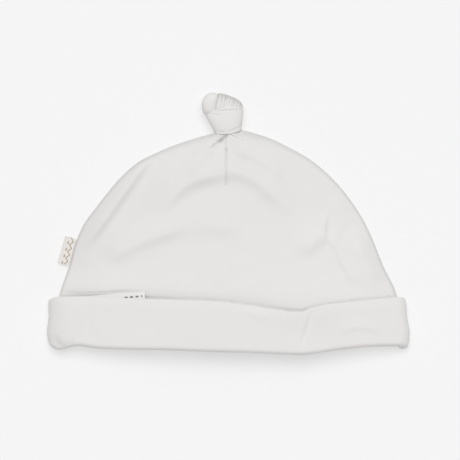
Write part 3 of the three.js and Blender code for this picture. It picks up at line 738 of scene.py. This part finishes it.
def layer_points(name, across, turn, y):
    """Points of a cuff layer at stations round the cuff and heights y."""
    layer = CUFF_LAYERS[name]
    reach_left, reach_right = layer["reach"]
    left = -layer["end"](y, 0) + reach_left
    right = layer["end"](y, 1) - reach_right
    x = lerp(left, right, (across + 1) / 2)
    angle = turn * math.pi
    bulge = np.where(across > 0, reach_right, -reach_left)
    swing = np.abs(np.sin(angle)) ** np.where(across > 0, END_FULLNESS[1], END_FULLNESS[0])
    x = x + bulge * swing
    z = lerp(layer["low"], layer["high"](x, y), (1 + np.cos(angle)) / 2)
    return np.stack(np.broadcast_arrays(x, y, z), axis=-1)


def cuff_stations(front, back, end):
    """Stations round the cuff: places across, -1 to 1, and turns, 0 in front to 1 behind."""
    ones = np.ones(end)
    round_end = np.arange(end) / end
    rightwards = np.linspace(-1, 1, front, endpoint=False)
    leftwards = np.linspace(1, -1, back, endpoint=False)
    across = (rightwards, ones, leftwards, -ones)
    turn = (np.zeros(front), round_end, np.ones(back), 1 - round_end)
    return np.concatenate(across), np.concatenate(turn)


def cuff_band():
    """The cuff, a doubled band that hooks up outside the crown, as rings joined into a loop."""
    across, turn = cuff_stations(*CUFF_GRID)
    mix = (1 - np.cos(turn * math.pi)) / 2
    place = layer_points("band_outside", across, turn, 0 * turn)[:, 0] / HALF_CUFF
    drop = CORNER_DROP * np.sin(turn * math.pi) ** 2 * (across > 0)
    foot = CUFF_DEPTH * (lerp(cuff_foot_at(place), BACK_FOOT, mix) - drop)
    top = CUFF_DEPTH * lerp(cuff_top_at(place), BACK_TOP, mix)
    lip_top = np.full_like(foot, SEAM_HEIGHT - LIP_DROP)
    floor = foot + CUFF_WALL
    fold_top = foot + FOLD_RISE
    rim_top = top - EDGE_ROUND
    rim_floor = floor + EDGE_ROUND

    def straight(name, low, high, shares):
        return [layer_points(name, across, turn, lerp(low, high, share)) for share in shares]

    def bend(start, end, edge, radius, step):
        """Rows that turn from one layer to another round an edge, step degrees apart."""
        rows = []
        for angle in np.radians(np.arange(step, 180, step)):
            y = edge + radius * (1 - math.sin(angle))
            before = layer_points(start, across, turn, y)
            after = layer_points(end, across, turn, y)
            rows.append(lerp(before, after, (1 - math.cos(angle)) / 2))
        return rows

    points = (
        *straight("lip_inside", lip_top, fold_top, np.linspace(0, 1, LIP_ROWS)),
        *bend("lip_inside", "band_outside", foot, FOLD_RISE, FOLD_STEP),
        *straight("band_outside", fold_top, rim_top, np.linspace(0, 1, OUTSIDE_ROWS)),
        *bend("band_outside", "band_inside", top, -EDGE_ROUND, RIM_STEP),
        *straight("band_inside", rim_floor, rim_top, np.linspace(1, 0, INSIDE_ROWS)),
        *bend("band_inside", "lip_outside", floor, EDGE_ROUND, FLOOR_STEP),
        *straight("lip_outside", rim_floor, lip_top, (0, 1)),
    )
    rings = np.stack(points, axis=1)
    shade = cuff_shade(rings, foot)
    return loft("cuff_band", rings, cloth_of(rings, True), closed=True, shade=shade)


def cuff_shade(rings, foot):
    """Painted shade on the cuff: at its left end, along its foot and in the tucked corner."""
    x = rings[:, :, 0]
    y = rings[:, :, 1]
    end = END_SHADE * (1 - smoothstep(END_SHADE_START, END_SHADE_RUN, x - x.min()))
    fold = FOOT_SHADE * bell(y - foot[:, None], FOOT_SHADE_RUN)
    return np.maximum(end, fold) + folds_at(CUFF_TUCK, HALF_CUFF, CUFF_DEPTH, x, y)


def cloth_of(rings, closed):
    """Each point's place on the flat cloth: its distance along the rings and round its ring."""
    joined = np.concatenate((rings, rings[:, :1]), axis=1)
    if closed:
        joined = np.concatenate((joined, joined[:1]), axis=0)
    round_steps = np.linalg.norm(np.diff(joined, axis=1), axis=-1)
    along_steps = np.linalg.norm(np.diff(joined, axis=0), axis=-1).mean(axis=1)
    start = np.zeros((len(joined), 1))
    round_run = np.concatenate((start, np.cumsum(round_steps, axis=1)), axis=1)
    along_run = np.concatenate(((0,), np.cumsum(along_steps)))
    return np.stack((np.broadcast_to(along_run[:, None], round_run.shape), round_run), axis=-1)


def tube(name, rings, shade=None):
    """A solid through a list of rings, with both ends filled."""
    rings = np.stack(rings)
    return loft(name, rings, cloth_of(rings, False), shade=shade)


def rounded(value, power):
    """A sine or cosine made squarer by a power below 1."""
    return np.sign(value) * np.abs(value) ** power


# The knot in sections from the neck up: rise as a share of KNOT_HEIGHT, the sides as shares of
# KNOT_WIDTH from the neck's middle, and the heights as shares of KNOT_DEPTH
BAND_SECTIONS = {
    "rise": (0, 0.12, 0.28, 0.44, 0.56, 0.64),
    "left": (-0.33, -0.375, -0.45, -0.515, -0.545, -0.55),
    "right": (0.33, 0.335, 0.355, 0.37, 0.372, 0.362),
    "low": (0.13, 0.07, 0.02, 0, 0, 0.03),
    "high": (0.9, 0.96, 1, 1, 1, 0.97),
}
LOOP_SECTIONS = {
    "rise": (0.4, 0.47, 0.55, 0.66, 0.75, 0.84, 0.92, 0.97, 1),
    "left": (-0.5, -0.58, -0.622, -0.642, -0.64, -0.61, -0.555, -0.5, -0.44),
    "right": (-0.33, -0.28, -0.262, -0.248, -0.234, -0.22, -0.222, -0.262, -0.33),
    "low": (0.34, 0.2, 0.1, 0.05, 0.05, 0.07, 0.14, 0.25, 0.43),
    "high": (0.66, 0.82, 0.93, 0.985, 0.99, 0.97, 0.9, 0.79, 0.57),
}
# Top edge of the knot's band across its front, and the outline of the gathered end from left to
# right, as shares of KNOT_WIDTH and of KNOT_HEIGHT
BAND_TOP = {
    "across": (-0.56, -0.33, -0.26, -0.1, 0.1, 0.37),
    "rise": (0.51, 0.56, 0.6, 0.638, 0.65, 0.652),
}
GATHER_OUTLINE = ((-0.235, 0.985), (-0.1, 0.965), (0.06, 0.915), (0.21, 0.847), (0.315, 0.762),
                  (0.352, 0.695), (0.362, 0.65))
GATHER_FOOT = ((-0.32, 0.47), (0.28, 0.47))
# Lines on the knot's band: its ends, as shares of KNOT_WIDTH and KNOT_HEIGHT
BAND_LINES = (
    Fold(-0.6, 0.32, 0.32, ((-0.3, 0.55), (0.0, 0.565), (0.36, 0.585)), 0.08),
    Fold(-0.28, 0.4, 0.5, ((0.04, 0.04), (0.17, 0.09), (0.32, 0.17)), 0.12),
    Fold(-0.2, 0.4, 0.5, ((-0.33, 0.05), (-0.1, 0.02)), 0.12),
    Fold(-0.25, 0.7, 0.5, ((-0.48, 0.5), (-0.36, 0.45), (-0.2, 0.44)), 0.3),
)


def knot_sections(table):
    return {name: curve_through(table["rise"], table[name]) for name in table if name != "rise"}


def around(sides):
    """Angles of evenly spread points round a loop."""
    return np.arange(sides) / sides * 2 * math.pi


def section_ring(sections, rise, sides, inset=0.0):
    """A rounded loop of points about the knot's length at one rise."""
    angle = around(sides)
    left, right = (sections[name](rise) * KNOT_WIDTH for name in ("left", "right"))
    low, high = (sections[name](rise) * KNOT_DEPTH for name in ("low", "high"))
    wide = (right - left) / 2 - inset
    deep = (high - low) / 2 - inset
    x = (left + right) / 2 + wide * rounded(np.cos(angle), KNOT_ROUND[0])
    z = (low + high) / 2 + deep * rounded(np.sin(angle), KNOT_ROUND[1])
    return np.stack((x, np.full(sides, KNOT_FOOT + rise * KNOT_HEIGHT), z), axis=-1)


def band_steps(rows):
    """Steps up the outside of the knot's band, over its rolled edge and down inside it, each a
    share of the band's height and a distance in from its outside."""
    steps = [(share, 0.0) for share in np.linspace(0, BAND_ROLL, rows)]
    for angle in np.radians(np.arange(30, 181, 30)):
        share = BAND_ROLL + (1 - BAND_ROLL) * math.sin(angle)
        steps.append((share, KNOT_WALL / 2 * (1 - math.cos(angle))))
    steps += [(share, KNOT_WALL) for share in BAND_INSIDE]
    return steps + list(BAND_INSIDE_FOOT)


def knot_band():
    """The tail's wrap round the knot, open at its top, with its top edge rolled in."""
    sides, rows = BAND_GRID
    sections = knot_sections(BAND_SECTIONS)
    top_at = curve_through(BAND_TOP["across"], BAND_TOP["rise"])
    last = BAND_SECTIONS["rise"][-1]
    rings = []
    shade = []
    for share, inset in band_steps(rows):
        ring = section_ring(sections, last * share, sides, inset)
        depth = ring[:, 2] / KNOT_DEPTH
        front = smoothstep(*BAND_FRONT, depth)
        top = KNOT_HEIGHT * lerp(last, top_at(ring[:, 0] / KNOT_WIDTH), front)
        foot = neck_tilt(ring[:, 0]) - BAND_LAP * smoothstep(*BAND_LAP_FRONT, depth)
        height = lerp(foot, top, share)
        ring[:, 1] = KNOT_FOOT + height
        lines = np.zeros(sides)
        if inset == 0:
            lines = folds_at(BAND_LINES, KNOT_WIDTH, KNOT_HEIGHT, ring[:, 0], height) * front
        ring[:, 2] += lines
        rings.append(ring)
        # painted shade along the band's grooved lines
        shade.append(line_shade(lines))
    return tube("knot_band", rings, np.stack(shade))


def pleat_at(u):
    """Rounded ridges with narrow valleys between them, a little uneven."""
    uneven = u
    for shift, waves, start in PLEAT_SHIFTS:
        uneven = uneven + shift * np.sin(2 * math.pi * waves * u + start)
    return np.abs(np.cos(math.pi * GATHER_COUNT * uneven)) ** PLEAT_POWER


def knot_gathers():
    """The tail's gathered end: pleats that fan out of the band up to a rounded outline."""
    stations, sides = GATHER_GRID
    size = (KNOT_WIDTH, KNOT_HEIGHT)
    outline = path_through(GATHER_OUTLINE, stations) * size
    along = np.linspace(0, 1, stations)
    foot = lerp(*np.array(GATHER_FOOT), along[:, None]) * size
    angle = around(sides)
    out = (1 + np.cos(angle)) / 2
    rings = []
    shade = []
    for k, u in enumerate(along):
        ridge = pleat_at(u)
        pleat = ridge - PLEAT_MIDDLE
        end = math.sqrt(1 - max(2 * u - 1, 0) ** 2)
        reach = out * (1 + PLEAT_REACH * pleat * out)
        at = foot[k] + (outline[k] - foot[k]) * reach[:, None]
        full = GATHER_HALF * lerp(GATHER_END, 1, end) * rounded(np.sin(angle), GATHER_ROUND)
        depth = GATHER_DEPTH * pleat * out**PLEAT_START_POWER
        z = KNOT_DEPTH / 2 + (full + depth * rounded(np.sin(angle), PLEAT_ROUND))
        rings.append(np.stack((at[:, 0], KNOT_FOOT + at[:, 1], z), axis=-1))
        # painted shade: darker at the gathered end's rim, more so towards its right, and in the
        # valleys between the pleats
        rim = lerp(RIM_SHADE, 1, u) * bell(1 - out, RIM_SHADE_RUN)
        shade.append(GATHER_SHADE * np.maximum(rim, PLEAT_SHADE * out * (1 - ridge)))
    return tube("knot_gathers", rings, np.stack(shade))


def knot_loop():
    """The tail's folded loop at the knot's left."""
    sides, rows = LOOP_GRID
    sections = knot_sections(LOOP_SECTIONS)
    low = LOOP_SECTIONS["rise"][0]
    high = LOOP_SECTIONS["rise"][-1]
    rises = lerp(low, high, np.sin(np.linspace(0, 1, rows) * math.pi / 2))
    rings = np.stack([section_ring(sections, rise, sides) for rise in rises])
    centre = rings.mean(axis=1, keepdims=True)
    soft = with_ripples(1, rings[:, :, 0], rings[:, :, 1], LOOP_RIPPLES)[..., None]
    rings = centre + (rings - centre) * soft
    return tube("knot_loop", rings)


def knot_root():
    """The tail's root, which fills the crown's gathered neck."""
    shares = np.linspace(ROOT_EDGE, 1 - ROOT_EDGE, ROOT_COLUMNS)
    steps = ((ROOT_SHARE, 0), (ROOT_SHARE / 2, 0), (0, 0), (0, KNOT_HEIGHT * ROOT_REACH))
    rings = []
    for v, rise in steps:
        row = np.array([v])
        upper = panel_points(row, shares, CROWN_WALL, True, False)[0] + (0, rise, -ROOT_GAP)
        lower = panel_points(row, shares, CROWN_WALL, False, False)[0] + (0, rise, ROOT_GAP)
        rings.append(np.concatenate((lower, upper[::-1])))
    return tube("knot_root", rings)


def seam_point(rise, samples=2000):
    """The left side seam at a share of the crown above the cuff."""
    shares = np.linspace(0, 1, samples)
    side = crown_at["side"](shares)
    share = shares[int(np.argmin(np.abs(side - rise)))]
    half = lerp(HALF_NECK, HALF_CROWN, crown_at["left"](share))
    return np.array((-half, CUFF_DEPTH + CROWN_RUN * rise))


def hairpin(size, reach):
    """Out along one side of a folded ribbon, round its fold and back: distance out and height."""
    straight = np.linspace(TAG_START, reach - size, TAG_COLUMNS)
    turn = np.linspace(-math.pi / 2, math.pi / 2, TAG_TURNS)[1:-1]
    level = np.full(TAG_COLUMNS, size)
    out = np.concatenate((straight, reach - size + size * np.cos(turn), straight[::-1]))
    high = np.concatenate((-level, size * np.sin(turn), level))
    return np.stack((out, high), axis=-1)


def side_tag():
    """A woven ribbon folded in half, its ends in the left side seam."""
    middle = seam_point(TAG_RISE)
    spread = TAG_LENGTH / 2 / CROWN_RUN
    along = seam_point(TAG_RISE + spread) - seam_point(TAG_RISE - spread)
    along = along / np.linalg.norm(along)
    outward = np.array((-along[1], along[0]))
    level = seam_level(middle[1], 0)
    half = TAG_FULL / 2
    outside = hairpin(half, TAG_REACH)
    inside = hairpin(half - TAG_WALL, TAG_REACH - TAG_WALL)
    profile = np.concatenate((outside, inside[::-1]))
    rings = []
    for share in np.linspace(-0.5, 0.5, TAG_ROWS):
        at = middle + outward * profile[:, :1] + along * share * TAG_LENGTH
        curl = TAG_CURL * (profile[:, 0] / TAG_REACH) ** 2 * (TAG_CURL_SHIFT + share)
        rings.append(np.stack((at[:, 0], at[:, 1], level + profile[:, 1] + curl), axis=-1))
    return tube("side_tag_ribbon", rings)


def care_label():
    """The end of a satin label that stands up between the crown and the cuff."""
    rows, columns = LABEL_GRID
    height = CUFF_DEPTH + LABEL_PEEK - SEAM_HEIGHT - LABEL_WIDTH * math.sin(LABEL_TURN)
    right = np.array((math.cos(LABEL_TURN), math.sin(LABEL_TURN)))
    up = np.array((-math.sin(LABEL_TURN), math.cos(LABEL_TURN)))
    corner = np.array((LABEL_PLACE * HALF_CUFF, CUFF_DEPTH + LABEL_PEEK))
    back = LABEL_WIDTH * np.linspace(1, 0, columns)
    rings = []
    for down in np.linspace(0, height, rows):
        at = corner - right * back[:, None] - up * down
        curl = LABEL_CURL * (1 - down / height) ** 3
        z = hidden_front(at[:, 0], at[:, 1]) + LABEL_RISE + curl
        lower = np.stack((at[:, 0], at[:, 1], z), axis=-1)
        upper = lower + (0, 0, LABEL_WALL)
        rings.append(np.concatenate((lower, upper[::-1])))
    return tube("care_label_satin", rings)


class Graph:
    """Short calls for the nodes of one material."""

    def __init__(self, name):
        self.material = bpy.data.materials.new(name)
        self.material.use_nodes = True
        self.tree = self.material.node_tree
        self.shader = self.tree.nodes["Principled BSDF"]

    def node(self, kind, **settings):
        node = self.tree.nodes.new(kind)
        for key, value in settings.items():
            setattr(node, key, value)
        return node

    def link(self, source, target):
        self.tree.links.new(source, target)

    def math(self, operation, *values):
        node = self.node("ShaderNodeMath", operation=operation)
        for socket, value in zip(node.inputs, values):
            if isinstance(value, (int, float)):
                socket.default_value = value
            else:
                self.link(value, socket)
        return node.outputs[0]

    def cloth(self):
        """Each point's place on the flat cloth, as two sockets in metres."""
        split = self.node("ShaderNodeSeparateXYZ")
        self.link(self.node("ShaderNodeUVMap", uv_map="cloth").outputs["UV"], split.inputs[0])
        return split.outputs["X"], split.outputs["Y"]

    def noise(self, scale, detail=2.0):
        place = self.node("ShaderNodeTexCoord").outputs["Object"]
        node = self.node("ShaderNodeTexNoise")
        node.inputs["Scale"].default_value = scale
        node.inputs["Detail"].default_value = detail
        self.link(place, node.inputs["Vector"])
        return node.outputs["Fac"]

    def mix(self, factor, low, high):
        """A colour between two, each a colour or a socket, as factor goes from 0 to 1."""
        node = self.node("ShaderNodeMix", data_type="RGBA")
        self.link(factor, node.inputs["Factor"])
        for name, colour in (("A", low), ("B", high)):
            if isinstance(colour, tuple):
                node.inputs[name].default_value = (*colour, 1)
            else:
                self.link(colour, node.inputs[name])
        return node.outputs["Result"]

    def colour(self, source):
        self.link(source, self.shader.inputs["Base Color"])

    def bump(self, height, distance, strength):
        node = self.node("ShaderNodeBump")
        node.inputs["Distance"].default_value = distance
        node.inputs["Strength"].default_value = strength
        self.link(height, node.inputs["Height"])
        self.link(node.outputs["Normal"], self.shader.inputs["Normal"])

    def set(self, **values):
        for key, value in values.items():
            self.shader.inputs[key.replace("_", " ")].default_value = value


def toned(colour, share):
    return tuple(min(share * value, 1) for value in colour)


def jersey_material(name, colour):
    """Fine cotton jersey: columns of small V stitches that follow the cloth. Its colour is
    darkened by the painted shade that each mesh carries.
    """
    graph = Graph(name)
    across, along = graph.cloth()
    across = graph.math("MULTIPLY", across, 1 / (WALE * MM))
    along = graph.math("MULTIPLY", along, 1 / (COURSE * MM))
    leg = graph.math("ABSOLUTE", graph.math("SUBTRACT", graph.math("FRACT", across), 0.5))
    slant = graph.math("ADD", along, graph.math("MULTIPLY", leg, STITCH_SLANT))
    stitch = graph.math("SINE", graph.math("MULTIPLY", slant, 2 * math.pi))
    groove = graph.math("SINE", graph.math("MULTIPLY", leg, 2 * math.pi))
    height = graph.math("ADD", graph.math("MULTIPLY", stitch, STITCH_HEIGHT), groove)
    for scale, amount in (FUZZ, SLACK):
        rough = graph.math("MULTIPLY", graph.noise(scale, 3), amount)
        height = graph.math("ADD", height, rough)
    graph.bump(height, KNIT_DEPTH * MM, KNIT_STRENGTH)
    tone = graph.math("MULTIPLY_ADD", graph.noise(*TONE_NOISE), *TONE_REACH)
    dark, light = (toned(colour, share) for share in TONE_SHARES)
    # the mesh's painted shade mixes the colour towards a deep tone
    shade = graph.node("ShaderNodeAttribute", attribute_name="shade").outputs["Fac"]
    graph.colour(graph.mix(shade, graph.mix(tone, dark, light), toned(colour, DEEP_SHARE)))
    graph.set(Roughness=0.92, Specular_IOR_Level=0.15, Sheen_Weight=0.08, Sheen_Roughness=0.5)
    return graph.material


def dashes(graph, along, across, pitch, fill, row, half):
    """Mask of short dashes in a row: along the cloth they repeat, across it they lie at row."""
    step = graph.math("FRACT", graph.math("DIVIDE", along, pitch * MM))
    dash = graph.math("LESS_THAN", step, fill)
    near = graph.math("ABSOLUTE", graph.math("SUBTRACT", across, row * MM))
    return graph.math("MULTIPLY", dash, graph.math("LESS_THAN", near, half * MM))


def woven(graph, warp, weft, depth):
    """Bump of a plain weave, threads of two directions over and under each other. It returns the
    places along the two."""
    along, across = graph.cloth()
    u = graph.math("SINE", graph.math("MULTIPLY", along, 2 * math.pi / (warp * MM)))
    v = graph.math("SINE", graph.math("MULTIPLY", across, 2 * math.pi / (weft * MM)))
    graph.bump(graph.math("MULTIPLY", u, v), depth * MM, WEAVE_STRENGTH)
    return along, across


def satin_material():
    """White satin with a row of plain grey dashes."""
    graph = Graph("label_satin")
    down, round_run = woven(graph, *SATIN_WEAVE)
    row = (LABEL_DASH, LABEL_DASH_SHARE, LABEL_DASH_ROW, LABEL_DASH_HALF)
    mask = dashes(graph, round_run, down, *row)
    for edge, side in zip(LABEL_DASH_REACH, ("GREATER_THAN", "LESS_THAN")):
        mask = graph.math("MULTIPLY", mask, graph.math(side, round_run, edge * MM))
    tone = graph.mix(graph.noise(BLOTCHES), *SATIN_COLOURS)
    graph.colour(graph.mix(mask, tone, DASH_COLOUR))
    graph.set(Roughness=0.45, Specular_IOR_Level=0.4)
    return graph.material


def ribbon_material():
    """Cream woven ribbon with a brown zigzag and a row of dots."""
    graph = Graph("tag_ribbon")
    along, round_run = woven(graph, *RIBBON_WEAVE)
    wave = graph.math("PINGPONG", along, TAG_PITCH / 2 * MM)
    middle = graph.math("ADD", graph.math("MULTIPLY", wave, TAG_SLOPE), TAG_ROW * MM)
    near = graph.math("ABSOLUTE", graph.math("SUBTRACT", round_run, middle))
    zigzag = graph.math("LESS_THAN", near, TAG_LINE * MM)
    dots = dashes(graph, along, round_run, TAG_PITCH, TAG_DOT_SHARE, TAG_DOTS, TAG_LINE)
    tone = graph.mix(graph.noise(BLOTCHES), *RIBBON_COLOURS)
    graph.colour(graph.mix(graph.math("MAXIMUM", zigzag, dots), tone, ZIGZAG_COLOUR))
    graph.set(Roughness=0.7, Specular_IOR_Level=0.3)
    return graph.material


jersey = jersey_material("jersey", JERSEY_COLOUR)
band_jersey = jersey_material("band_jersey", BAND_COLOUR)
satin = satin_material()
ribbon = ribbon_material()

PIECES = (
    (crown_panel("crown_front_cloth", True, *FRONT_GRID), jersey, "jersey", "crown_front"),
    (crown_panel("crown_back_cloth", False, *BACK_GRID), jersey, "jersey", "crown_back"),
    (cuff_band(), band_jersey, "band_jersey", "cuff"),
    (knot_band(), jersey, "jersey", "top_knot"),
    (knot_gathers(), jersey, "jersey", "top_knot"),
    (knot_loop(), jersey, "jersey", "top_knot"),
    (knot_root(), jersey, "jersey", "top_knot"),
    (side_tag(), ribbon, "tag_ribbon", "side_tag"),
    (care_label(), satin, "label_satin", "care_label"),
)
for piece, material, slot, node in PIECES:
    piece.data.materials.append(material)
    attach(piece, "root")
    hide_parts(node)

# Floor, light and camera
PHOTO_PIXEL = 0.471
PHOTO_SIZE = 460
PHOTO_FOOT = (228.0, 354.5)
CAMERA_DISTANCE = 2.2
SENSOR = 36.0
FLOOR_REACH = 3.0
FLOOR_DROP = 0.1
DOME = 0.44
KEY_SHARE = 0.54
KEY_FROM = (0.0, 0.3, 0.95)
KEY_SPREAD = math.radians(42)
FLOOR_COLOUR = 0.48
FLOOR_GLOW = 0.444
WHITE = (1, 1, 1, 1)


def floor():
    """The pale surface, a little below the cap so that no face of it is shared."""
    square = ((-1, -1), (1, -1), (1, 1), (-1, 1))
    corners = [(x * FLOOR_REACH, y * FLOOR_REACH, -FLOOR_DROP * MM) for x, y in square]
    mesh = bpy.data.meshes.new("floor")
    mesh.from_pydata(corners, [], [(0, 1, 2, 3)])
    graph = Graph("floor")
    graph.set(Base_Color=(*[FLOOR_COLOUR] * 3, 1), Roughness=0.9, Specular_IOR_Level=0.0)
    graph.set(Emission_Color=WHITE, Emission_Strength=FLOOR_GLOW)
    mesh.materials.append(graph.material)
    piece = bpy.data.objects.new("floor", mesh)
    bpy.context.scene.collection.objects.link(piece)


def studio_light():
    """An even sky and one wide, soft sun that leans a little from the knot's side."""
    world = bpy.data.worlds.new("studio")
    world.use_nodes = True
    sky = world.node_tree.nodes["Background"]
    sky.inputs["Color"].default_value = WHITE
    sky.inputs["Strength"].default_value = DOME
    bpy.context.scene.world = world
    data = bpy.data.lights.new("key", "SUN")
    data.angle = KEY_SPREAD
    direction = Vector(KEY_FROM).normalized()
    data.energy = KEY_SHARE * math.pi / direction.z
    light = bpy.data.objects.new("key", data)
    light.rotation_mode = "QUATERNION"
    light.rotation_quaternion = direction.to_track_quat("Z", "Y")
    bpy.context.scene.collection.objects.link(light)


def camera():
    """A camera straight above, placed and framed as the photo is."""
    data = bpy.data.cameras.new("camera")
    data.sensor_width = SENSOR
    data.lens = SENSOR * CAMERA_DISTANCE / (PHOTO_SIZE * PHOTO_PIXEL * MM)
    piece = bpy.data.objects.new("camera", data)
    x = (PHOTO_SIZE / 2 - PHOTO_FOOT[0]) * PHOTO_PIXEL
    y = (PHOTO_FOOT[1] - PHOTO_SIZE / 2) * PHOTO_PIXEL + FOOT
    piece.location = (x * MM, y * MM, CAMERA_DISTANCE)
    bpy.context.scene.collection.objects.link(piece)
    bpy.context.scene.camera = piece


floor()
studio_light()
camera()
bpy.context.scene.view_settings.view_transform = "Standard"
